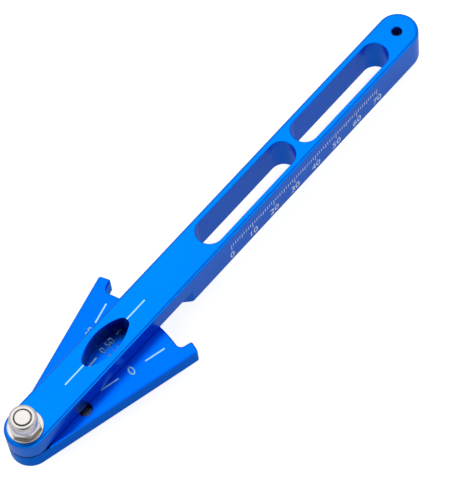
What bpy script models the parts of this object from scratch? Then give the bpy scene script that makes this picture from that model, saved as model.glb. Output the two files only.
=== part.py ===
"""Chain wear gauge: a slotted bar over a swinging sector plate, held by a bolt, with two measuring pins.

The pivot is on the Z axis and the bar runs along +X. The bolt's domed head and the two pin tips stand on Z = 0.
"""
import math

import bmesh
import bpy

# Sizes in metres, angles in degrees.

# Bar
BAR_WIDTH = 0.0132
BAR_THICKNESS = 0.0139
BAR_PIN_DISTANCE = 0.1734
BAR_END_BEYOND_PIN = 0.0069
THIN_THICKNESS = 0.0072
BAR_EDGE_ROUND = 0.0009
STEP_CORNER_CHAMFER = 0.0032
SLOT_LENGTH = 0.0426
SLOT_WALL = 0.0021
SLOT_WEB = 0.0025
SLOT_TO_PIN = 0.0068
WINDOW_LENGTH = 0.0195
WINDOW_WIDTH = 0.0084
WINDOW_END_RADIUS = 0.0022

# Sector plate
PLATE_THICKNESS = 0.0064
PLATE_CHAMFER = 0.0004
PLATE_REST_ANGLE = -0.7
SIDE_ANGLE = 14.1
ARC_RADIUS = 0.0523
HOOK_HEIGHT = 0.0044
HOOK_ANGLE = 16.9
HOOK_FILLET = 0.0018
PLATE_PIN_RADIUS_FROM_PIVOT = 0.0186
PLATE_PIN_ANGLE = -21.3
HOOK_TO_STEP = 0.0102
SCALE_RADIUS = 0.0354

# Bolt, washer and nut
BOLT_RADIUS = 0.0028
BOLT_HEAD_RADIUS = 0.0052
BOLT_HEAD_HEIGHT = 0.0035
BOLT_HEAD_RIM = 0.0006
BOLT_HEAD_FLAT_RADIUS = 0.0032
BOLT_END_CHAMFER = 0.00035
BOLT_END_RISE = 0.0002
WASHER_RADIUS = 0.0055
WASHER_THICKNESS = 0.0006
WASHER_EDGE = 0.00015
NUT_FLATS = 0.0088
NUT_HEIGHT = 0.0058
NUT_HEX_HEIGHT = 0.0020
NUT_FACE_RADIUS = 0.00425
NUT_COLLAR_RADIUS = 0.00425
NUT_COLLAR_CHAMFER = 0.0005
NUT_REST_ANGLE = 0.8
CORNER_CUT_ANGLE = 30.0

# Measuring pins
PIN_RADIUS = 0.00145
PIN_TIP_CHAMFER = 0.0003
BAR_PIN_RECESS = 0.0035
PLATE_PIN_BODY_RADIUS = 0.0022
PLATE_PIN_RECESS = 0.0020

# Clearances
SEAT_GAP = 0.0002
RUNNING_GAP = 0.0003
BORE_CLEARANCE = 0.0003
THREAD_CLEARANCE = 0.0002
PRESS_CLEARANCE = 0.00015

# Fineness of round shapes
BAR_END_SEGMENTS = 32
SLOT_END_SEGMENTS = 20
ARC_SEGMENTS = 28
SMALL_ARC_SEGMENTS = 8
BAR_EDGE_SEGMENTS = 4
TURNED_STEPS = 48
SMOOTH_ANGLE = 30.0

# Building
CUT_MARGIN = 0.0020
MERGE_DISTANCE = 0.00001
FLAT_ANGLE = 1.0
RIM_ANGLE = 50.0
HEXAGON_SIDES = 6

# Heights that follow from the stack along the bolt
PLATE_LOW = BOLT_HEAD_HEIGHT + SEAT_GAP
PLATE_HIGH = PLATE_LOW + PLATE_THICKNESS
THIN_LOW = PLATE_HIGH + RUNNING_GAP
BAR_HIGH = THIN_LOW + THIN_THICKNESS
BAR_LOW = BAR_HIGH - BAR_THICKNESS
WASHER_LOW = BAR_HIGH + SEAT_GAP
WASHER_HIGH = WASHER_LOW + WASHER_THICKNESS
NUT_LOW = WASHER_HIGH + SEAT_GAP
NUT_HIGH = NUT_LOW + NUT_HEIGHT
BOLT_HIGH = NUT_HIGH + BOLT_END_RISE

# Places that follow from the sizes
END_RADIUS = BAR_WIDTH / 2
HOOK_RADIUS = ARC_RADIUS + HOOK_HEIGHT
STEP_X = HOOK_RADIUS + HOOK_TO_STEP
SLOT_RADIUS = END_RADIUS - SLOT_WALL
BOLT_BORE_RADIUS = BOLT_RADIUS + BORE_CLEARANCE
NUT_BORE_RADIUS = BOLT_RADIUS + THREAD_CLEARANCE


def empty_scene():
    for obj in list(bpy.data.objects):
        bpy.data.objects.remove(obj, do_unlink=True)


def new_collection(name):
    collection = bpy.data.collections.new(name)
    bpy.context.scene.collection.children.link(collection)
    return collection


def finish_material(name, colour, roughness, metallic):
    """A Principled BSDF material with one colour."""
    material = bpy.data.materials.new(name)
    material.use_nodes = True
    shader = material.node_tree.nodes["Principled BSDF"]
    shader.inputs["Base Color"].default_value = (*colour, 1.0)
    shader.inputs["Roughness"].default_value = roughness
    shader.inputs["Metallic"].default_value = metallic
    return material


def polar(radius, angle):
    return (radius * math.cos(math.radians(angle)), radius * math.sin(math.radians(angle)))


def arc(centre, radius, start, end, segments):
    """Points on an arc, from start to end in degrees, both ends included."""
    points = []
    for step in range(segments + 1):
        x, y = polar(radius, start + (end - start) * step / segments)
        points.append((centre[0] + x, centre[1] + y))
    return points


def stadium(x_low, x_high, radius, segments):
    """A slot outline with round ends between two X limits."""
    right = arc((x_high - radius, 0), radius, -90, 90, segments)
    left = arc((x_low + radius, 0), radius, 90, 270, segments)
    return right + left


def circle(centre, radius):
    return arc(centre, radius, 0, 360 - 360 / TURNED_STEPS, TURNED_STEPS - 1)


def slab(name, outline, z_low, z_high, collection):
    """A flat piece with this outline, as a closed mesh made from a filled 2D curve."""
    curve = bpy.data.curves.new(name, "CURVE")
    curve.dimensions = "2D"
    curve.fill_mode = "BOTH"
    curve.extrude = (z_high - z_low) / 2
    spline = curve.splines.new("POLY")
    spline.points.add(len(outline) - 1)
    for point, (x, y) in zip(spline.points, outline):
        point.co = (x, y, 0, 1)
    spline.use_cyclic_u = True
    flat = bpy.data.objects.new(name + "_outline", curve)
    flat.location.z = (z_low + z_high) / 2
    collection.objects.link(flat)
    obj = as_mesh(flat, name, collection)
    shape = bmesh.new()
    shape.from_mesh(obj.data)
    bmesh.ops.remove_doubles(shape, verts=shape.verts, dist=MERGE_DISTANCE)
    bmesh.ops.dissolve_limit(shape, angle_limit=math.radians(FLAT_ANGLE), verts=shape.verts, edges=shape.edges)
    bmesh.ops.recalc_face_normals(shape, faces=shape.faces)
    shape.to_mesh(obj.data)
    shape.free()
    return obj


def as_mesh(source, name, collection):
    """A mesh object with the evaluated shape of another object, which is then removed."""
    bpy.context.view_layer.update()
    graph = bpy.context.evaluated_depsgraph_get()
    mesh = bpy.data.meshes.new_from_object(source.evaluated_get(graph))
    obj = bpy.data.objects.new(name, mesh)
    obj.matrix_world = source.matrix_world
    collection.objects.link(obj)
    bpy.data.objects.remove(source, do_unlink=True)
    return obj


def turned(name, profile, collection, closed=False):
    """A turned piece: its profile in X and Z runs down the outer side and is spun round Z."""
    mesh = bpy.data.meshes.new(name)
    edges = [(i, i + 1) for i in range(len(profile) - 1)]
    if closed:
        edges.append((len(profile) - 1, 0))
    mesh.from_pydata([(x, 0, z) for x, z in profile], edges, [])
    obj = bpy.data.objects.new(name, mesh)
    collection.objects.link(obj)
    spin = obj.modifiers.new("turn", "SCREW")
    spin.axis = "Z"
    spin.angle = math.tau
    spin.steps = TURNED_STEPS
    spin.render_steps = TURNED_STEPS
    spin.use_merge_vertices = True
    spin.merge_threshold = MERGE_DISTANCE
    return obj


def corner_radius(flats):
    """The distance from a hexagon's centre to its corners."""
    return flats / 2 / math.cos(math.pi / HEXAGON_SIDES)


def hexagon(name, flats, z_low, z_high, angle, collection):
    """A hexagon bar with one corner at this angle."""
    bpy.ops.mesh.primitive_cylinder_add(
        vertices=HEXAGON_SIDES,
        radius=corner_radius(flats),
        depth=z_high - z_low,
        location=(0, 0, (z_low + z_high) / 2),
        rotation=(0, 0, math.radians(angle + 90)),
    )
    obj = bpy.context.object
    obj.name = name
    obj.data.name = name
    for holder in list(obj.users_collection):
        holder.objects.unlink(obj)
    collection.objects.link(obj)
    bpy.context.view_layer.update()
    return obj


def soften(obj, width, segments):
    """Chamfers the rims of a slab, or rounds them where there is more than one segment."""
    bevel = obj.modifiers.new("soft_rim", "BEVEL")
    bevel.width = width
    bevel.segments = segments
    bevel.limit_method = "ANGLE"
    bevel.angle_limit = math.radians(RIM_ANGLE)


def combine(obj, tool, operation):
    boolean = obj.modifiers.new(tool.name, "BOOLEAN")
    boolean.object = tool
    boolean.operation = operation
    boolean.solver = "EXACT"
    tool.hide_render = True
    tool.display_type = "WIRE"


def finished(obj, material, collection):
    """The piece as one plain mesh with its material, smooth on its round faces."""
    name = obj.name
    obj.name = name + "_blank"
    piece = as_mesh(obj, name, collection)
    piece.data.name = name
    piece.data.materials.clear()
    piece.data.materials.append(material)
    piece.data.shade_smooth()
    piece.data.set_sharp_from_angle(angle=math.radians(SMOOTH_ANGLE))
    return piece


def carry(piece, holder):
    """Parents a piece to an empty and keeps it where it stands."""
    piece.parent = holder
    piece.matrix_parent_inverse = holder.matrix_world.inverted()


def window_outline(centre_x):
    """A lens with round ends: two wide arcs along the sides, each end closed by a small arc that touches both."""
    small = WINDOW_END_RADIUS
    half_width = WINDOW_WIDTH / 2
    end_x = WINDOW_LENGTH / 2 - small
    # The distance from a wide arc's centre to a small arc's centre is the difference of their radii
    wide = (end_x**2 + half_width**2 - small**2) / (2 * (half_width - small))
    drop = wide - half_width
    meet = math.degrees(math.atan2(drop, end_x))
    outline = arc((centre_x, -drop), wide, meet, 180 - meet, ARC_SEGMENTS)
    outline += arc((centre_x - end_x, 0), small, 180 - meet, 180 + meet, SMALL_ARC_SEGMENTS)[1:-1]
    outline += arc((centre_x, drop), wide, 180 + meet, 360 - meet, ARC_SEGMENTS)
    outline += arc((centre_x + end_x, 0), small, -meet, meet, SMALL_ARC_SEGMENTS)[1:-1]
    return outline


def make_bar(parts, cutters, material):
    outline = stadium(-END_RADIUS, BAR_PIN_DISTANCE + BAR_END_BEYOND_PIN, END_RADIUS, BAR_END_SEGMENTS)
    bar = slab("gauge_bar", outline, BAR_LOW, BAR_HIGH, cutters)
    soften(bar, BAR_EDGE_ROUND, BAR_EDGE_SEGMENTS)
    low = BAR_LOW - CUT_MARGIN
    high = BAR_HIGH + CUT_MARGIN

    far = END_RADIUS + CUT_MARGIN
    nose = END_RADIUS - STEP_CORNER_CHAMFER
    bay = [
        (-far, -far),
        (STEP_X + CUT_MARGIN, -far),
        (STEP_X - STEP_CORNER_CHAMFER, -nose),
        (STEP_X - STEP_CORNER_CHAMFER, nose),
        (STEP_X + CUT_MARGIN, far),
        (-far, far),
    ]
    combine(bar, slab("plate_bay_cut", bay, low, THIN_LOW, cutters), "DIFFERENCE")

    slot_end = BAR_PIN_DISTANCE - SLOT_TO_PIN
    for number in (2, 1):
        slot = stadium(slot_end - SLOT_LENGTH, slot_end, SLOT_RADIUS, SLOT_END_SEGMENTS)
        combine(bar, slab(f"slot_{number}_cut", slot, low, high, cutters), "DIFFERENCE")
        slot_end -= SLOT_LENGTH + SLOT_WEB

    window = slab("window_cut", window_outline(SCALE_RADIUS), low, high, cutters)
    combine(bar, window, "DIFFERENCE")
    bore = slab("bar_bore_cut", circle((0, 0), BOLT_BORE_RADIUS), low, high, cutters)
    combine(bar, bore, "DIFFERENCE")
    pin_hole = circle((BAR_PIN_DISTANCE, 0), PIN_RADIUS + PRESS_CLEARANCE)
    combine(bar, slab("bar_pin_hole_cut", pin_hole, low, high, cutters), "DIFFERENCE")
    return finished(bar, material, parts)


def hook_side(sign):
    """The inner side of one hook, from the arc out to the tip, with a fillet in its corner."""
    fillet = HOOK_FILLET
    # The fillet touches the scale arc from outside and the hook's radial side from the scale's side
    centre_radius = ARC_RADIUS + fillet
    centre_angle = HOOK_ANGLE - math.degrees(math.asin(fillet / centre_radius))
    centre = polar(centre_radius, centre_angle)
    points = arc(centre, fillet, centre_angle + 180, HOOK_ANGLE + 90, SMALL_ARC_SEGMENTS)
    points.append(polar(HOOK_RADIUS, HOOK_ANGLE))
    return [(x, sign * y) for x, y in points]


def plate_outline():
    """The plate in its own frame: round at the pivot, straight sides, an arc and a hook at each end of it."""
    hook_corner = SIDE_ANGLE + math.degrees(math.asin(END_RADIUS / HOOK_RADIUS))
    upper = hook_side(1)
    lower = hook_side(-1)
    arc_end = math.degrees(math.atan2(upper[0][1], upper[0][0]))
    outline = arc((0, 0), END_RADIUS, 90 + SIDE_ANGLE, 270 - SIDE_ANGLE, BAR_END_SEGMENTS)
    outline += arc((0, 0), HOOK_RADIUS, -hook_corner, -HOOK_ANGLE, SMALL_ARC_SEGMENTS)[:-1]
    outline += lower[::-1]
    outline += arc((0, 0), ARC_RADIUS, -arc_end, arc_end, ARC_SEGMENTS)[1:-1]
    outline += upper
    outline += arc((0, 0), HOOK_RADIUS, HOOK_ANGLE, hook_corner, SMALL_ARC_SEGMENTS)[1:]
    return outline


def make_plate(parts, cutters, material):
    plate = slab("sector_plate", plate_outline(), PLATE_LOW, PLATE_HIGH, cutters)
    soften(plate, PLATE_CHAMFER, 1)
    low = PLATE_LOW - CUT_MARGIN
    high = PLATE_HIGH + CUT_MARGIN
    bore = slab("plate_bore_cut", circle((0, 0), BOLT_BORE_RADIUS), low, high, cutters)
    combine(plate, bore, "DIFFERENCE")
    centre = polar(PLATE_PIN_RADIUS_FROM_PIVOT, PLATE_PIN_ANGLE)
    pin_hole = circle(centre, PLATE_PIN_BODY_RADIUS + PRESS_CLEARANCE)
    combine(plate, slab("plate_pin_hole_cut", pin_hole, low, high, cutters), "DIFFERENCE")
    return finished(plate, material, parts)


def make_bolt(parts, cutters, material):
    """A bolt with a low domed head, turned in one piece."""
    profile = [
        (0, BOLT_HIGH),
        (BOLT_RADIUS - BOLT_END_CHAMFER, BOLT_HIGH),
        (BOLT_RADIUS, BOLT_HIGH - BOLT_END_CHAMFER),
        (BOLT_RADIUS, BOLT_HEAD_HEIGHT),
        (BOLT_HEAD_RADIUS, BOLT_HEAD_HEIGHT),
    ]
    width = BOLT_HEAD_RADIUS - BOLT_HEAD_FLAT_RADIUS
    depth = BOLT_HEAD_HEIGHT - BOLT_HEAD_RIM
    for step in range(SMALL_ARC_SEGMENTS + 1):
        x, z = polar(1, 90 * step / SMALL_ARC_SEGMENTS)
        profile.append((BOLT_HEAD_FLAT_RADIUS + width * x, depth * (1 - z)))
    profile.append((0, 0))
    return finished(turned("pivot_bolt", profile, cutters), material, parts)


def make_washer(parts, cutters, material):
    edge = WASHER_EDGE
    bore = BOLT_BORE_RADIUS
    profile = [
        (bore, WASHER_HIGH),
        (WASHER_RADIUS - edge, WASHER_HIGH),
        (WASHER_RADIUS, WASHER_HIGH - edge),
        (WASHER_RADIUS, WASHER_LOW + edge),
        (WASHER_RADIUS - edge, WASHER_LOW),
        (bore, WASHER_LOW),
    ]
    return finished(turned("bolt_washer", profile, cutters, closed=True), material, parts)


def make_nut(parts, cutters, material):
    """A hexagon under a round collar, with cones that cut the hexagon's corners above and below."""
    slope = math.tan(math.radians(CORNER_CUT_ANGLE))
    edge = NUT_COLLAR_CHAMFER
    # The cones run on a little beyond the corners that they cut
    rim = corner_radius(NUT_FLATS) + edge
    shoulder = NUT_COLLAR_RADIUS - edge
    hex_high = NUT_LOW + NUT_HEX_HEIGHT
    below = NUT_LOW - CUT_MARGIN
    nut = hexagon("lock_nut", NUT_FLATS, below, hex_high + CUT_MARGIN, NUT_REST_ANGLE, cutters)
    envelope = [
        (0, hex_high),
        (shoulder, hex_high),
        (rim, hex_high - (rim - shoulder) * slope),
        (rim, NUT_LOW + (rim - NUT_FACE_RADIUS) * slope),
        (NUT_FACE_RADIUS, NUT_LOW),
        (0, NUT_LOW),
    ]
    combine(nut, turned("nut_envelope", envelope, cutters), "INTERSECT")
    collar = [
        (0, NUT_HIGH),
        (shoulder, NUT_HIGH),
        (NUT_COLLAR_RADIUS, NUT_HIGH - edge),
        (NUT_COLLAR_RADIUS, NUT_LOW + edge),
        (0, NUT_LOW + edge),
    ]
    combine(nut, turned("nut_collar", collar, cutters), "UNION")
    bore = slab("nut_bore_cut", circle((0, 0), NUT_BORE_RADIUS), below, NUT_HIGH + CUT_MARGIN, cutters)
    combine(nut, bore, "DIFFERENCE")
    return finished(nut, material, parts)


def make_bar_pin(parts, cutters, material):
    high = BAR_HIGH - BAR_PIN_RECESS
    profile = [
        (0, high),
        (PIN_RADIUS, high),
        (PIN_RADIUS, PIN_TIP_CHAMFER),
        (PIN_RADIUS - PIN_TIP_CHAMFER, 0),
        (0, 0),
    ]
    pin = turned("bar_pin", profile, cutters)
    pin.location.x = BAR_PIN_DISTANCE
    return finished(pin, material, parts)


def make_plate_pin(parts, cutters, material):
    high = PLATE_HIGH - PLATE_PIN_RECESS
    body = PLATE_PIN_BODY_RADIUS
    profile = [
        (0, high),
        (body, high),
        (body, PLATE_LOW),
        (PIN_RADIUS, PLATE_LOW),
        (PIN_RADIUS, PIN_TIP_CHAMFER),
        (PIN_RADIUS - PIN_TIP_CHAMFER, 0),
        (0, 0),
    ]
    pin = turned("plate_pin", profile, cutters)
    x, y = polar(PLATE_PIN_RADIUS_FROM_PIVOT, PLATE_PIN_ANGLE)
    pin.location = (x, y, 0)
    return finished(pin, material, parts)


def main():
    empty_scene()
    parts = new_collection("chain_wear_gauge")
    cutters = new_collection("cutters")

    bar_blue = finish_material("bar_blue_anodised", (0.0, 0.22, 0.85), 0.35, 0.8)
    plate_blue = finish_material("plate_blue_anodised", (0.0, 0.17, 0.80), 0.35, 0.8)
    bright_steel = finish_material("bright_steel", (0.80, 0.79, 0.77), 0.18, 1.0)
    pin_steel = finish_material("pin_steel", (0.45, 0.46, 0.48), 0.25, 1.0)

    make_bar(parts, cutters, bar_blue)
    plate = make_plate(parts, cutters, plate_blue)
    make_bolt(parts, cutters, bright_steel)
    make_washer(parts, cutters, bright_steel)
    make_nut(parts, cutters, bright_steel)
    make_bar_pin(parts, cutters, pin_steel)
    plate_pin = make_plate_pin(parts, cutters, pin_steel)

    swing = bpy.data.objects.new("plate_swing", None)
    parts.objects.link(swing)
    bpy.context.view_layer.update()
    carry(plate, swing)
    carry(plate_pin, swing)
    swing.rotation_euler.z = math.radians(PLATE_REST_ANGLE)
    cutters.hide_render = True


main()
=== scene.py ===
"""Chain wear gauge: finishes, markings, nut and bolt, lights and camera."""
import math

import bmesh
import bpy
from mathutils import Euler, Matrix, Vector


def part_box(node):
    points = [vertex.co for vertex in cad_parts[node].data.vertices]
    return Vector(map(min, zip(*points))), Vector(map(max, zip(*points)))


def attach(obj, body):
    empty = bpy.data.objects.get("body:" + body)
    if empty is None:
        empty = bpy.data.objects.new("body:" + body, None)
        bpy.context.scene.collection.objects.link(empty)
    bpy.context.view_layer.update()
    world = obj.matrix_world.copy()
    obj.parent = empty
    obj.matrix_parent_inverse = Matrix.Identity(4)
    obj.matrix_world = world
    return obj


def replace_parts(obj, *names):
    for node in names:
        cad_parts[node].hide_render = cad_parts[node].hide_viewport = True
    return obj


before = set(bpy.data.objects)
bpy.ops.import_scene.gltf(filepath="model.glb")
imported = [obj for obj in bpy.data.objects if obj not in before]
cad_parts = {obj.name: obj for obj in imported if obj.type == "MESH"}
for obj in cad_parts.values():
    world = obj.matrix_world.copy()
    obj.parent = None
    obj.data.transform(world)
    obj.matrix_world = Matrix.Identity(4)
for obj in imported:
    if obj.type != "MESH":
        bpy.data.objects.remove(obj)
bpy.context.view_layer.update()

# Levels of the stack, in metres
BAR_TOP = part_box("gauge_bar")[1].z
PLATE_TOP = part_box("sector_plate")[1].z
RUNNING_GAP = 0.0003
THIN_LOW = PLATE_TOP + RUNNING_GAP
BAR_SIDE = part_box("gauge_bar")[0].y
NUT_LOW, NUT_HIGH = (corner.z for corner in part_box("lock_nut"))
BOLT_LOW, BOLT_HIGH = (corner.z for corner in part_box("pivot_bolt"))
WASHER_LOW, WASHER_HIGH = (corner.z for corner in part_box("bolt_washer"))
WASHER_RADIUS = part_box("bolt_washer")[1].x

# Places on the bar and the plate
PLATE_REST_ANGLE = -0.7
WINDOW_X = 0.0354
BAR_PIN_X = 0.1734
PLATE_PIN_X, PLATE_PIN_Y = 0.0172, -0.0070

# Edge rounds and marks
EDGE_ROUND = 0.00012
EDGE_ROUND_FROM = 28
RIM_ROUND = 0.0004
RIM_START = 0.075
RIM_REACH = 0.0050
SAME_LEVEL = 0.00001
SAME_PLACE = 0.000001
MARK_RISE = 0.00002
MARK_DEPTH = 0.00006
SCALE_LINE = 0.0005
INDEX_LINE = 0.00045
STRIP_END_STEPS = 6
FIGURE_SHARE = 0.70


# Meshes

def mesh_object(name, mesh):
    obj = bpy.data.objects.new(name, mesh)
    bpy.context.scene.collection.objects.link(obj)
    return obj


def object_from(shape, name):
    """A bmesh as an object. The bmesh is freed."""
    mesh = bpy.data.meshes.new(name)
    shape.to_mesh(mesh)
    shape.free()
    return mesh_object(name, mesh)


def evaluated_mesh(source):
    """The mesh that an object shows with its modifiers, in world places. The object is removed."""
    bpy.context.view_layer.update()
    graph = bpy.context.evaluated_depsgraph_get()
    mesh = bpy.data.meshes.new_from_object(source.evaluated_get(graph))
    mesh.transform(source.matrix_world)
    bpy.data.objects.remove(source, do_unlink=True)
    return mesh


def smooth(obj, angle):
    obj.data.shade_smooth()
    obj.data.set_sharp_from_angle(angle=math.radians(angle))


def paint(obj, material):
    obj.data.materials.clear()
    obj.data.materials.append(material)


def joined(name, objects):
    """Several meshes as one object."""
    shape = bmesh.new()
    for obj in objects:
        shape.from_mesh(evaluated_mesh(obj))
    return object_from(shape, name)


def on_rim(edge):
    """Whether an edge of the bar's top lies near its middle line, past the step.

    Those are the rims of the slots and of the pin hole, and the tip of the round end's edge.
    """
    places = [vert.co for vert in edge.verts]
    on_top = all(place.z > BAR_TOP - SAME_LEVEL for place in places)
    return on_top and all(abs(place.y) < RIM_REACH and place.x > RIM_START for place in places)


def softened(node, name, rim_width=0.0):
    """A copy of a CAD solid with a small round on its sharp edges, and a wider one on its rims if given."""
    shape = bmesh.new()
    shape.from_mesh(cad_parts[node].data)
    bmesh.ops.remove_doubles(shape, verts=shape.verts, dist=SAME_PLACE)
    bmesh.ops.dissolve_limit(shape, angle_limit=math.radians(0.5), verts=shape.verts, edges=shape.edges)
    if rim_width:
        rims = [edge for edge in shape.edges if on_rim(edge)]
        bmesh.ops.bevel(
            shape, geom=rims, offset=rim_width, offset_type="OFFSET", segments=3, profile=0.5, affect="EDGES"
        )
    else:
        # The edge round would fold a flat face that wraps round a hole, so these are cut into triangles
        many_sided = [face for face in shape.faces if len(face.verts) > 4]
        bmesh.ops.triangulate(shape, faces=many_sided, quad_method="BEAUTY", ngon_method="BEAUTY")
    blank = object_from(shape, name + "_plain")
    edge = blank.modifiers.new("edge_break", "BEVEL")
    edge.width = EDGE_ROUND
    edge.segments = 2
    edge.limit_method = "ANGLE"
    edge.angle_limit = math.radians(EDGE_ROUND_FROM)
    blank.data.shade_smooth()
    even = blank.modifiers.new("even_light", "WEIGHTED_NORMAL")
    even.weight = 50
    piece = mesh_object(name, evaluated_mesh(blank))
    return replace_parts(piece, node)


def ring_stack(name, rings, steps, capped=True):
    """A round piece from rings. Each ring gives its radius and height for an angle in radians."""
    shape = bmesh.new()
    rows = []
    for ring in rings:
        row = []
        for step in range(steps):
            angle = math.tau * step / steps
            radius, z = ring(angle)
            row.append(shape.verts.new((radius * math.cos(angle), radius * math.sin(angle), z)))
        rows.append(row)
    for low, high in zip(rows, rows[1:]):
        for i in range(steps):
            j = (i + 1) % steps
            shape.faces.new((low[i], low[j], high[j], high[i]))
    if capped:
        shape.faces.new(rows[0][::-1])
        shape.faces.new(rows[-1])
    bmesh.ops.recalc_face_normals(shape, faces=shape.faces)
    return object_from(shape, name)


def bored(stack, turn=0.0):
    """A ring stack without caps gets a straight bore between its ends, and a turn about Z in degrees."""
    shape = bmesh.new()
    shape.from_mesh(stack.data)
    bmesh.ops.bridge_loops(shape, edges=[edge for edge in shape.edges if edge.is_boundary])
    bmesh.ops.rotate(shape, verts=shape.verts, matrix=Matrix.Rotation(math.radians(turn), 3, "Z"))
    bmesh.ops.recalc_face_normals(shape, faces=shape.faces)
    shape.to_mesh(stack.data)
    shape.free()
    return stack


def level(radius, z):
    return lambda angle: (radius, z)


def fillet(radius, z, size, start, end, count):
    """Rings along an arc in the profile, about a centre at this radius and height."""
    rings = []
    for step in range(count + 1):
        turn = math.radians(start + (end - start) * step / count)
        rings.append(level(radius + size * math.cos(turn), z + size * math.sin(turn)))
    return rings


# Shader groups

class Shader:
    """A node tree that is filled one node at a time."""

    def __init__(self, tree):
        self.tree = tree

    def node(self, kind, values=(), **settings):
        node = self.tree.nodes.new(kind)
        for key, value in settings.items():
            setattr(node, key, value)
        for key, value in dict(values).items():
            if isinstance(value, bpy.types.NodeSocket):
                self.tree.links.new(value, node.inputs[key])
            else:
                node.inputs[key].default_value = value
        return node

    def maths(self, operation, *values):
        node = self.node("ShaderNodeMath", dict(enumerate(values)), operation=operation)
        return node.outputs[0]

    def ramp(self, value, low, high, to_low, to_high):
        values = {"Value": value, "From Min": low, "From Max": high, "To Min": to_low, "To Max": to_high}
        return self.node("ShaderNodeMapRange", values).outputs["Result"]

    def noise(self, vector, scale, detail, roughness=0.5):
        values = {"Vector": vector, "Scale": scale, "Detail": detail, "Roughness": roughness}
        return self.node("ShaderNodeTexNoise", values).outputs["Fac"]

    def stretched(self, vector, scale):
        return self.node("ShaderNodeMapping", {"Vector": vector, "Scale": scale}).outputs["Vector"]

    def tinted(self, colour, value):
        values = {"Color": colour, "Value": value}
        return self.node("ShaderNodeHueSaturation", values).outputs["Color"]

    def axes(self, vector):
        return self.node("ShaderNodeSeparateXYZ", {"Vector": vector}).outputs

    def square_sum(self, x, y):
        return self.maths("ADD", self.maths("MULTIPLY", x, x), self.maths("MULTIPLY", y, y))

    def far_from(self, vector, centre_x, centre_y, scale_x=1.0, scale_y=1.0):
        """The squared distance from a vertical axis, with X and Y scaled."""
        place = self.axes(vector)
        x = self.maths("MULTIPLY", self.maths("SUBTRACT", place["X"], centre_x), scale_x)
        y = self.maths("MULTIPLY", self.maths("SUBTRACT", place["Y"], centre_y), scale_y)
        return self.square_sum(x, y)

    def bump(self, height, distance, strength=1.0):
        values = {"Height": height, "Distance": distance, "Strength": strength}
        return self.node("ShaderNodeBump", values).outputs["Normal"]


def shader_group(name, inputs, outputs):
    """An empty group with these sockets, and the outputs of its input node."""
    tree = bpy.data.node_groups.new(name, "ShaderNodeTree")
    for label, kind, value in inputs:
        socket = tree.interface.new_socket(label, in_out="INPUT", socket_type=kind)
        socket.default_value = value
    for label, kind in outputs:
        tree.interface.new_socket(label, in_out="OUTPUT", socket_type=kind)
    return Shader(tree), tree.nodes.new("NodeGroupInput").outputs


def finish_group(name, colour, roughness):
    """An empty group for a surface finish."""
    inputs = [
        ("Vector", "NodeSocketVector", (0, 0, 0)),
        ("Colour", "NodeSocketColor", colour),
        ("Roughness", "NodeSocketFloat", roughness),
    ]
    outputs = [
        ("Colour", "NodeSocketColor"),
        ("Roughness", "NodeSocketFloat"),
        ("Normal", "NodeSocketVector"),
    ]
    return shader_group(name, inputs, outputs)


def end_finish(s, given, tone, spread, normal):
    """Ends a finish group: the given colour times a tone, the given roughness plus a spread, a normal."""
    results = {
        "Colour": s.tinted(given["Colour"], tone),
        "Roughness": s.maths("ADD", given["Roughness"], spread),
        "Normal": normal,
    }
    s.node("NodeGroupOutput", results)
    return s.tree


def anodised_group():
    """Satin anodised aluminium: fine blasted grain, faint milling lines and a slow change of tone."""
    grain_scale, cloud_scale, along_scale = 5200, 70, 60
    s, given = finish_group("anodised_finish", (0, 0.2, 0.8, 1), 0.3)
    grain = s.noise(given["Vector"], grain_scale, 3, 0.6)
    cloud = s.noise(given["Vector"], cloud_scale, 3)
    lines = s.noise(s.stretched(given["Vector"], (along_scale, grain_scale, grain_scale)), 1, 2)
    tone = s.maths("ADD", s.ramp(cloud, 0.3, 0.7, 0.97, 1.02), s.ramp(grain, 0.2, 0.8, -0.025, 0.025))
    spread = s.maths("ADD", s.ramp(grain, 0.25, 0.75, -0.04, 0.05), s.ramp(lines, 0.3, 0.7, -0.02, 0.02))
    height = s.maths("ADD", s.maths("MULTIPLY", grain, 0.6), s.maths("MULTIPLY", lines, 0.4))
    return end_finish(s, given, tone, spread, s.bump(height, 0.000012, 0.6))


def turned_group():
    """Machined steel: fine rings round the Z axis, with a slow change of tone."""
    ring_scale, cloud_scale = 6500, 420
    s, given = finish_group("turned_steel_finish", (0.8, 0.79, 0.77, 1), 0.2)
    parts = s.axes(given["Vector"])
    radius = s.maths("SQRT", s.square_sum(parts["X"], parts["Y"]))
    place = s.node("ShaderNodeCombineXYZ", {"X": radius, "Y": parts["Z"]}).outputs["Vector"]
    rings = s.noise(place, ring_scale, 2, 0.6)
    cloud = s.noise(given["Vector"], cloud_scale, 3)
    tone = s.maths("ADD", s.ramp(cloud, 0.3, 0.7, 0.96, 1.03), s.ramp(rings, 0.3, 0.7, -0.03, 0.03))
    spread = s.maths("ADD", s.ramp(rings, 0.3, 0.7, -0.04, 0.05), s.ramp(cloud, 0.3, 0.7, -0.02, 0.03))
    return end_finish(s, given, tone, spread, s.bump(rings, 0.000008, 0.5))


def marking_group():
    """Laser marking: a pale, slightly speckled matt surface."""
    speckle_scale = 9000
    s, given = finish_group("laser_marking", (0.8, 0.9, 1, 1), 0.6)
    speckle = s.noise(given["Vector"], speckle_scale, 2, 0.6)
    tone = s.ramp(speckle, 0.3, 0.7, 0.9, 1.0)
    spread = s.ramp(speckle, 0.3, 0.7, -0.05, 0.05)
    return end_finish(s, given, tone, spread, s.bump(speckle, 0.00001, 0.5))


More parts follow.
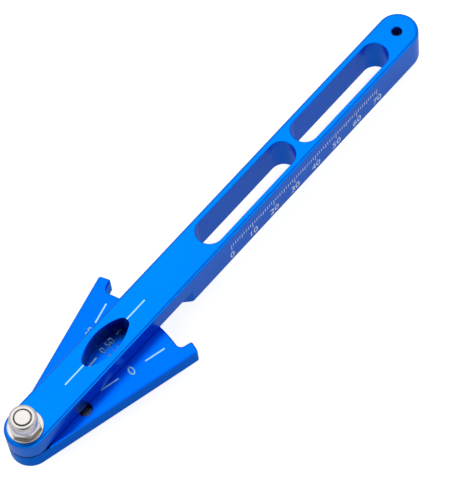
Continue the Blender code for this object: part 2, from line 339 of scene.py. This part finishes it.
def hollow_group():
    """Painted shade inside a hollow: 1 outside it and above its rim, and the given value far below the rim.
    A value above 1 paints light instead.
    """
    inputs = [
        ("Vector", "NodeSocketVector", (0, 0, 0)),
        ("Centre X", "NodeSocketFloat", 0.0),
        ("Centre Y", "NodeSocketFloat", 0.0),
        ("Radius X", "NodeSocketFloat", 0.002),
        ("Radius Y", "NodeSocketFloat", 0.002),
        ("Rim", "NodeSocketFloat", 0.01),
        ("Below", "NodeSocketFloat", 0.003),
        ("Depth value", "NodeSocketFloat", 0.3),
    ]
    s, given = shader_group("hollow_shade", inputs, [("Value", "NodeSocketFloat")])
    place = s.axes(given["Vector"])
    x = s.maths("DIVIDE", s.maths("SUBTRACT", place["X"], given["Centre X"]), given["Radius X"])
    y = s.maths("DIVIDE", s.maths("SUBTRACT", place["Y"], given["Centre Y"]), given["Radius Y"])
    inside = s.maths("LESS_THAN", s.square_sum(x, y), 1.0)
    depth = s.maths("DIVIDE", s.maths("SUBTRACT", given["Rim"], place["Z"]), given["Below"])
    fall = s.maths("MULTIPLY", s.ramp(depth, 0.05, 1.0, 0.0, 1.0), inside)
    s.node("NodeGroupOutput", {"Value": s.ramp(fall, 0.0, 1.0, 1.0, given["Depth value"])})
    return s.tree


def seam_group():
    """Painted shade at the seam between bar and plate: 1 away from it, down to the given value along it."""
    inputs = [
        ("Vector", "NodeSocketVector", (0, 0, 0)),
        ("Level", "NodeSocketFloat", 0.01),
        ("Half height", "NodeSocketFloat", 0.0007),
        ("Radius", "NodeSocketFloat", 0.0072),
        ("Seam value", "NodeSocketFloat", 0.3),
    ]
    s, given = shader_group("seam_shade", inputs, [("Value", "NodeSocketFloat")])
    off = s.maths("ABSOLUTE", s.maths("SUBTRACT", s.axes(given["Vector"])["Z"], given["Level"]))
    near = s.ramp(s.maths("DIVIDE", off, given["Half height"]), 0.5, 1.0, 1.0, 0.0)
    radius = s.maths("SQRT", s.far_from(given["Vector"], 0.0, 0.0))
    round_end = s.maths("LESS_THAN", radius, given["Radius"])
    dark = s.maths("MULTIPLY", near, round_end)
    s.node("NodeGroupOutput", {"Value": s.ramp(dark, 0.0, 1.0, 1.0, given["Seam value"])})
    return s.tree


def hollow(centre, radii, rim, below, value):
    """A hollow_shade for a material, painted shade or light: the value is the brightness painted at this
    depth below the rim.
    """
    return "hollow_shade", {
        "Centre X": centre[0],
        "Centre Y": centre[1],
        "Radius X": radii[0],
        "Radius Y": radii[1],
        "Rim": rim,
        "Below": below,
        "Depth value": value,
    }


def seam(value):
    """A seam_shade for a material: painted shade at the gap between bar and plate."""
    return "seam_shade", {"Level": (PLATE_TOP + THIN_LOW) / 2, "Seam value": value}


def finish(name, group, colour, roughness, metallic, offset=(0, 0, 0), shades=(), edge=(1, 1, 1, 1)):
    """A Principled material whose colour, roughness and normal come from a shader group."""
    material = bpy.data.materials.new(name)
    material.use_nodes = True
    s = Shader(material.node_tree)
    shader = material.node_tree.nodes["Principled BSDF"]
    place = s.node("ShaderNodeTexCoord").outputs["Object"]
    moved = s.node("ShaderNodeMapping", {"Vector": place, "Location": offset}).outputs["Vector"]
    given = {"Vector": moved, "Colour": (*colour, 1), "Roughness": roughness}
    surface = s.node("ShaderNodeGroup", given, node_tree=group).outputs
    # The shades multiply the base colour by painted shade and painted light.
    tone = 1.0
    for kind, values in shades:
        shade = s.node("ShaderNodeGroup", {"Vector": place, **values}, node_tree=bpy.data.node_groups[kind])
        tone = s.maths("MULTIPLY", tone, shade.outputs["Value"])
    shown = s.tinted(surface["Colour"], tone) if shades else surface["Colour"]
    s.tree.links.new(shown, shader.inputs["Base Color"])
    s.tree.links.new(surface["Roughness"], shader.inputs["Roughness"])
    s.tree.links.new(surface["Normal"], shader.inputs["Normal"])
    shader.inputs["Metallic"].default_value = metallic
    shader.inputs["Specular Tint"].default_value = edge
    return material


# Markings

def raised(shape, name, lift):
    """Flat faces made a thin solid by a lift along this vector."""
    top = bmesh.ops.extrude_face_region(shape, geom=shape.faces[:])
    verts = [item for item in top["geom"] if isinstance(item, bmesh.types.BMVert)]
    bmesh.ops.translate(shape, verts=verts, vec=lift)
    bmesh.ops.recalc_face_normals(shape, faces=shape.faces)
    return object_from(shape, name)


def strip(name, start, end, width, z):
    """A thin straight mark with round ends, between two points in the plane."""
    (x0, y0), (x1, y1) = start, end
    along = math.atan2(y1 - y0, x1 - x0)
    shape = bmesh.new()
    points = []
    for centre_x, centre_y, first in ((x1, y1, -90), (x0, y0, 90)):
        for step in range(STRIP_END_STEPS + 1):
            turn = along + math.radians(first + 180 / STRIP_END_STEPS * step)
            points.append((centre_x + width / 2 * math.cos(turn), centre_y + width / 2 * math.sin(turn)))
    shape.faces.new([shape.verts.new((x, y, z - MARK_DEPTH)) for x, y in points])
    return raised(shape, name, (0, 0, MARK_DEPTH + MARK_RISE))


def number(text, height, placement, bold=0.0):
    """Figures standing on a baseline, as a thin solid with its face just above the placement's XY plane."""
    curve = bpy.data.curves.new("figures", "FONT")
    curve.body = text
    curve.size = height / FIGURE_SHARE
    curve.offset = bold
    curve.resolution_u = 4
    curve.align_x = "CENTER"
    obj = bpy.data.objects.new("figures", curve)
    bpy.context.scene.collection.objects.link(obj)
    obj.matrix_world = placement @ Matrix.Translation((0, 0, -MARK_DEPTH))
    shape = bmesh.new()
    shape.from_mesh(evaluated_mesh(obj))
    bmesh.ops.remove_doubles(shape, verts=shape.verts, dist=SAME_PLACE / 10)
    return raised(shape, "figures", placement.to_3x3() @ Vector((0, 0, MARK_DEPTH + MARK_RISE)))


def polar(radius, angle):
    return (radius * math.cos(math.radians(angle)), radius * math.sin(math.radians(angle)))


def scale_marks():
    """The plate's wear scale: a radial line, its figures and a second radial line for each reading."""
    pieces = []
    readings = (("0", -14.0), ("0.25", -1.9), ("0.50", 3.7), ("0.75", 9.5), ("1.00", 14.2))
    lines = ((0.0258, 0.0319), (0.0419, 0.0486))
    for text, angle in readings:
        at = angle + PLATE_REST_ANGLE
        for inner, outer in lines:
            pieces.append(strip("mark", polar(inner, at), polar(outer, at), SCALE_LINE, PLATE_TOP))
        height, radius = (0.0030, 0.0366) if text == "0" else (0.0023, 0.0371)
        x, y = polar(radius, at)
        turn = Matrix.Rotation(math.radians(at), 4, "Z")
        # The figures straddle the radial line, so their baseline lies half their height beside it
        placement = Matrix.Translation((x, y, PLATE_TOP)) @ turn @ Matrix.Translation((0, -height / 2, 0))
        pieces.append(number(text, height, placement, 0.00006))
    return joined("wear_scale", pieces)


def index_lines():
    """The two lines on the bar's top, one at each end of the window."""
    lines = ((0.0176, 0.0255), (0.0453, 0.0531))
    return joined("index_lines", [strip("index", (x0, 0), (x1, 0), INDEX_LINE, BAR_TOP) for x0, x1 in lines])


# Geometry nodes for the ruler on the bar's side

def ruler_tree(labels, material):
    """Ticks along X that hang below one line, with a longer one at each five and each ten."""
    tree = bpy.data.node_groups.new("ruler_ticks", "GeometryNodeTree")
    for label in labels:
        kind = "NodeSocketInt" if label == "Count" else "NodeSocketFloat"
        tree.interface.new_socket(label, in_out="INPUT", socket_type=kind)
    tree.interface.new_socket("Geometry", in_out="OUTPUT", socket_type="NodeSocketGeometry")
    s = Shader(tree)
    given = tree.nodes.new("NodeGroupInput").outputs

    def switch(test, otherwise, chosen):
        values = {"Switch": test, "False": otherwise, "True": chosen}
        return s.node("GeometryNodeSwitch", values, input_type="FLOAT").outputs[0]

    def vector(**parts):
        return s.node("ShaderNodeCombineXYZ", parts).outputs[0]

    step = vector(X=given["Spacing"])
    line = s.node("GeometryNodeMeshLine", {"Count": given["Count"], "Offset": step}).outputs[0]
    index = s.node("GeometryNodeInputIndex").outputs[0]
    tenth = s.maths("COMPARE", s.maths("MODULO", index, 10.0), 0.0, 0.1)
    fifth = s.maths("COMPARE", s.maths("MODULO", index, 5.0), 0.0, 0.1)
    length = switch(tenth, switch(fifth, given["Short tick"], given["Middle tick"]), given["Long tick"])
    drop = vector(Z=s.maths("MULTIPLY", length, -0.5))
    placed = s.node("GeometryNodeSetPosition", {"Geometry": line, "Offset": drop}).outputs[0]
    size = vector(X=given["Tick width"], Y=given["Thickness"], Z=length)
    cube = s.node("GeometryNodeMeshCube").outputs[0]
    values = {"Points": placed, "Instance": cube, "Scale": size}
    ticks = s.node("GeometryNodeInstanceOnPoints", values).outputs[0]
    real = s.node("GeometryNodeRealizeInstances", {"Geometry": ticks}).outputs[0]
    painted = s.node("GeometryNodeSetMaterial", {"Geometry": real, "Material": material}).outputs[0]
    s.node("NodeGroupOutput", {0: painted})
    return tree


def side_ruler(material):
    """A plain millimetre ruler on the bar's side: ticks below a common line and a figure at each ten."""
    start_x, line_z, figure_z, figure_height = 0.0851, 0.0130, 0.0058, 0.0029
    sizes = {
        "Count": 71,
        "Spacing": 0.001,
        "Tick width": 0.00025,
        "Thickness": MARK_DEPTH + MARK_RISE,
        "Short tick": 0.0015,
        "Middle tick": 0.0022,
        "Long tick": 0.0030,
    }
    holder = mesh_object("ruler_holder", bpy.data.meshes.new("ruler_holder"))
    nodes = holder.modifiers.new("ticks", "NODES")
    nodes.node_group = ruler_tree(sizes, material)
    for item in nodes.node_group.interface.items_tree:
        if item.in_out == "INPUT":
            nodes[item.identifier] = sizes[item.name]
    holder.location = (start_x, BAR_SIDE + (MARK_DEPTH - MARK_RISE) / 2, line_z)
    pieces = [mesh_object("ticks", evaluated_mesh(holder))]
    upright = Matrix.Rotation(math.radians(90), 4, "X")
    for tens in range(sizes["Count"] // 10 + 1):
        x = start_x + tens * 10 * sizes["Spacing"]
        placement = Matrix.Translation((x, BAR_SIDE, figure_z)) @ upright
        # A widened outline would fill the counter of the figure 4
        bold = 0.0 if tens == 4 else 0.00004
        pieces.append(number(str(tens * 10), figure_height, placement, bold))
    return joined("side_ruler", pieces)


# Nut, bolt and washer

def hexagon_radius(flats, angle, corner_angle):
    """The distance from the centre to a hexagon's side at this angle."""
    turn = (math.degrees(angle) - corner_angle) % 60
    return flats / 2 / math.cos(math.radians(turn - 30))


def make_nut():
    """A lock nut: a hexagon with corners cut by cones, a narrow neck and a collar with a domed shoulder."""
    flats, corner_angle, rest_angle = 0.0088, 0.0, 0.8
    bore, collar, hex_high = 0.0030, 0.00425, NUT_LOW + 0.0016
    low_face, low_cone, high_cone = 0.00005, 0.00425, 0.0040
    slope = math.tan(math.radians(35))

    def low_cut(angle):
        radius = hexagon_radius(flats, angle, corner_angle)
        return (radius, NUT_LOW + low_face + (radius - low_cone) * slope)

    def high_cut(angle):
        radius = hexagon_radius(flats, angle, corner_angle)
        return (radius, hex_high - (radius - high_cone) * slope)

    rings = [level(bore, NUT_LOW), level(low_cone, NUT_LOW), low_cut, high_cut]
    # Radius, and height above the hexagon
    neck = (
        (0.00406, -0.00004), (0.00388, 0.00010), (0.00388, 0.00028), (0.00408, 0.00040), (collar, 0.00058),
    )
    rings += [level(radius, hex_high + z) for radius, z in neck]
    # Radius, and drop below the nut's top: the domed shoulder, the end face and the opening's edge
    shoulder = (
        (collar, 0.0009), (0.00424, 0.0006), (0.00421, 0.00045), (0.004165, 0.00034), (0.00412, 0.00028),
        (0.00385, 0.00012), (0.00365, 0.00005), (0.0034, 0.0), (0.0029, 0.0), (0.00282, 0.00008),
        (0.0028, 0.0003),
    )
    rings += [level(radius, NUT_HIGH - drop) for radius, drop in shoulder]
    nut = bored(ring_stack("nut", rings, 144, capped=False), rest_angle)
    smooth(nut, 24)
    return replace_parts(nut, "lock_nut")


def make_washer():
    """A flat washer with round outer edges."""
    low, high, radius, bore, edge = WASHER_LOW, WASHER_HIGH, WASHER_RADIUS, 0.0031, 0.00018
    # A ring close to the round keeps its shading off the flat top
    support = 0.00003
    rings = [level(bore, low), level(radius - edge, low)]
    rings += fillet(radius - edge, low + edge, edge, -90, 0, 4)[1:]
    rings += fillet(radius - edge, high - edge, edge, 0, 90, 4)
    rings += [level(radius - edge - support, high), level(bore, high)]
    washer = bored(ring_stack("washer", rings, 96, capped=False))
    smooth(washer, 40)
    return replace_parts(washer, "bolt_washer")


def make_bolt():
    """A button head bolt with a hexagon socket, a plain shank and a thread at the nut's end."""
    head, rim, head_edge, flat, dome_steps = 0.0052, 0.0006, 0.0001, 0.0032, 12
    head_high = BOLT_LOW + 0.0035
    dome_high = head_high - rim
    socket, socket_angle, socket_floor, socket_point = 0.0040, 15, BOLT_LOW + 0.0021, 0.0006
    shank, pitch, depth, pitch_steps = 0.0028, 0.0010, 0.00045, 12
    thread_low, thread_fade, thread_high = 0.0105, 0.001, BOLT_HIGH - 0.0013
    # The last millimetre is turned down to the root of the thread
    end, end_low, end_edge = 0.0024, BOLT_HIGH - 0.0011, 0.00012

    def hexagon_at(z, wider=0.0):
        return lambda angle: (hexagon_radius(socket, angle, socket_angle) + wider, z)

    def thread(height):
        def ring(angle):
            phase = (height / pitch - angle / math.tau) % 1
            fade = min(1, max(0, (height - thread_low) / thread_fade))
            return (shank - depth * (1 - abs(2 * phase - 1)) * fade, height)
        return ring

    rings = [level(0.0001, socket_floor + socket_point), hexagon_at(socket_floor)]
    rings += [hexagon_at(BOLT_LOW + 0.00015), hexagon_at(BOLT_LOW, 0.00015)]
    for step in range(dome_steps + 1):
        turn = math.radians(90 * step / dome_steps)
        z = BOLT_LOW + (dome_high - BOLT_LOW) * (1 - math.cos(turn))
        rings.append(level(flat + (head - flat) * math.sin(turn), z))
    rings += [level(head, head_high - head_edge), level(head - head_edge, head_high)]
    rings += [level(shank, head_high), level(shank, thread_low)]
    row = thread_low
    while row < thread_high:
        row += pitch / pitch_steps
        rings.append(thread(row))
    rings += [level(end, end_low), level(end, BOLT_HIGH - end_edge), level(end - end_edge, BOLT_HIGH)]
    bolt = ring_stack("bolt", rings, 96)
    smooth(bolt, 28)
    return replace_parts(bolt, "pivot_bolt")


# Lights, floor and camera

def key_light():
    """One large soft lamp above, turned towards the gauge's pivot."""
    data = bpy.data.lights.new("key", "AREA")
    data.energy = 2.3
    data.shape = "RECTANGLE"
    data.size, data.size_y = 1.0, 0.9
    lamp = bpy.data.objects.new("key", data)
    bpy.context.scene.collection.objects.link(lamp)
    lamp.location = (0.40, 0.56, 1.33)
    lamp.rotation_euler = lamp.location.to_track_quat("Z", "Y").to_euler()


def white_floor():
    """A floor that keeps the shadow, shows pale to the camera and is dimmer in reflections."""
    half_size = 4
    shape = bmesh.new()
    bmesh.ops.create_grid(shape, x_segments=8, y_segments=8, size=half_size)
    floor = object_from(shape, "floor")
    material = bpy.data.materials.new("floor_white")
    material.use_nodes = True
    s = Shader(material.node_tree)
    shader = material.node_tree.nodes["Principled BSDF"]
    shader.inputs["Base Color"].default_value = (0.5, 0.5, 0.5, 1)
    shader.inputs["Roughness"].default_value = 0.9
    shader.inputs["Specular IOR Level"].default_value = 0.1
    shader.inputs["Emission Color"].default_value = (1, 1, 1, 1)
    path = s.node("ShaderNodeLightPath").outputs
    glow = 0.0
    for ray, strength in (("Is Camera Ray", 0.8), ("Is Glossy Ray", 0.22), ("Is Transmission Ray", 0.5)):
        glow = s.maths("ADD", glow, s.maths("MULTIPLY", path[ray], strength))
    s.tree.links.new(glow, shader.inputs["Emission Strength"])
    paint(floor, material)


def studio_sky():
    """A bright sky with screens in it for the metal to mirror. The camera itself sees white."""
    bright = 0.85
    world = bpy.data.worlds.new("studio")
    world.use_nodes = True
    bpy.context.scene.world = world
    s = Shader(world.node_tree)
    back = world.node_tree.nodes["Background"]
    back.inputs["Color"].default_value = (1, 1, 1, 1)
    place = s.node("ShaderNodeTexCoord").outputs["Generated"]
    # A dark screen hangs on the camera's side and a grey one beside it, so that the metal's edges show
    dark = s.ramp(s.far_from(place, -0.25, -0.27, 2.4, 2.2), 0.5, 1.3, 0.05, bright)
    grey = s.ramp(s.far_from(place, 0.22, -0.45, 3.3, 5.0), 0.3, 1.4, 0.34, bright)
    below = s.ramp(s.axes(place)["Z"], 0.3, 0.1, 0.0, 1.0)
    sky = s.maths("MAXIMUM", s.maths("MINIMUM", dark, grey), s.maths("MULTIPLY", below, bright))
    # A low bright strip in front draws the thin light line along the bar's edge
    strip_z, strip_strength = 0.08, 1.6
    off = s.maths("ABSOLUTE", s.maths("SUBTRACT", s.axes(place)["Z"], strip_z))
    front = s.ramp(s.axes(place)["Y"], -0.75, -0.85, 0.0, 1.0)
    lit = s.maths("MULTIPLY", s.ramp(off, 0.16, 0.26, 1.0, 0.0), front)
    sky = s.maths("ADD", sky, s.maths("MULTIPLY", lit, strip_strength))
    camera_ray = s.node("ShaderNodeLightPath").outputs["Is Camera Ray"]
    s.tree.links.new(s.maths("MAXIMUM", sky, camera_ray), back.inputs["Strength"])


def camera():
    """The photograph's view."""
    place = Vector((-0.18771388, -0.31071410, 0.77402919))
    turn = Euler([math.radians(angle) for angle in (28.00337, 4.06715, -49.58945)])
    data = bpy.data.cameras.new("camera")
    data.sensor_fit = "HORIZONTAL"
    data.sensor_width = 36
    data.lens = 219.753
    data.shift_x = -0.00039897
    data.shift_y = -0.00027032
    data.clip_start = 0.05
    data.clip_end = 20
    obj = bpy.data.objects.new("camera", data)
    bpy.context.scene.collection.objects.link(obj)
    obj.matrix_world = Matrix.LocRotScale(place, turn, None)
    bpy.context.scene.camera = obj


def blue_finishes():
    """The anodised finish of the bar and that of the plate, with painted shade in their hollows and at their
    seam.
    """
    anodised = anodised_group()
    # Painted shade darkens the window's walls, both pin holes and the seam between bar and plate.
    window = hollow((WINDOW_X, 0), (0.0103, 0.0045), BAR_TOP, 0.003, 0.3)
    bar_hole = hollow((BAR_PIN_X, 0), (0.0018, 0.0018), BAR_TOP, 0.002, 0.45)
    plate_hole = hollow((PLATE_PIN_X, PLATE_PIN_Y), (0.0025, 0.0025), PLATE_TOP, 0.002, 0.25)
    bar = finish(
        "bar_blue_anodised", anodised, (0.0, 0.180, 0.86), 0.28, 1.0,
        shades=(window, bar_hole, seam(0.1)), edge=(0.9, 0.9, 1, 1),
    )
    plate = finish(
        "plate_blue_anodised", anodised, (0.0, 0.133, 0.84), 0.28, 1.0,
        shades=(plate_hole, seam(0.1)), edge=(0.55, 0.9, 1, 1),
    )
    return bar, plate


def steel_finishes():
    """The bright steel of washer and bolt, the nut's steel with painted light and shade, and the ground
    steel of the two pins, darkened as painted shade in their holes.
    """
    turned = turned_group()
    bright = finish("bright_steel", turned, (0.59, 0.565, 0.54), 0.14, 0.9)
    # Painted light makes the collar's wall paler than the nut's end face, and painted shade makes the
    # hexagon's flats darker
    whole_nut = (0.006, 0.006)
    painted_wall_light = hollow((0, 0), whole_nut, NUT_HIGH - 0.0005, 0.0006, 1.45)
    flats = hollow((0, 0), whole_nut, NUT_LOW + 0.0015, 0.0005, 0.6)
    nut = finish("nut_steel_painted_light_and_shade", turned, (0.62, 0.59, 0.575), 0.2, 0.8, shades=(painted_wall_light, flats))
    # The pins' steel is ground steel, made dark as painted shade for their ends down in the holes.
    ground = (0.3, 0.3, 0.34)
    # The rings are centred on each pin's own axis
    bar_pin = finish("ground_steel_painted_shade_bar_pin", turned, ground, 0.25, 1.0, offset=(-BAR_PIN_X, 0, 0))
    plate_pin = finish(
        "ground_steel_painted_shade_plate_pin", turned, ground, 0.25, 1.0, offset=(-PLATE_PIN_X, -PLATE_PIN_Y, 0),
    )
    return bright, nut, bar_pin, plate_pin


def main():
    camera()
    white_floor()
    studio_sky()
    key_light()
    hollow_group()
    seam_group()
    bar_blue, plate_blue = blue_finishes()
    bright, nut_steel_painted_light_and_shade, bar_pin, plate_pin = steel_finishes()
    pale = marking_group()
    marking = finish("laser_marking", pale, (0.42, 0.78, 1.0), 0.42, 0.75)
    print_white = finish("side_print", pale, (0.66, 0.76, 1.0), 0.5, 0.0)

    bar = softened("gauge_bar", "bar_body", RIM_ROUND)
    paint(bar, bar_blue)
    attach(bar, "gauge")
    plate = softened("sector_plate", "plate_body")
    paint(plate, plate_blue)
    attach(plate, "plate")
    for make, steel in ((make_nut, nut_steel_painted_light_and_shade), (make_washer, bright), (make_bolt, bright)):
        piece = make()
        paint(piece, steel)
        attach(piece, "gauge")
    paint(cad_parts["bar_pin"], bar_pin)
    paint(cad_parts["plate_pin"], plate_pin)

    marks = (
        (scale_marks(), "plate", marking),
        (index_lines(), "gauge", marking),
        (side_ruler(print_white), "gauge", print_white),
    )
    for piece, body, material in marks:
        paint(piece, material)
        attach(piece, body)

    bpy.context.scene.view_settings.view_transform = "Standard"


main()
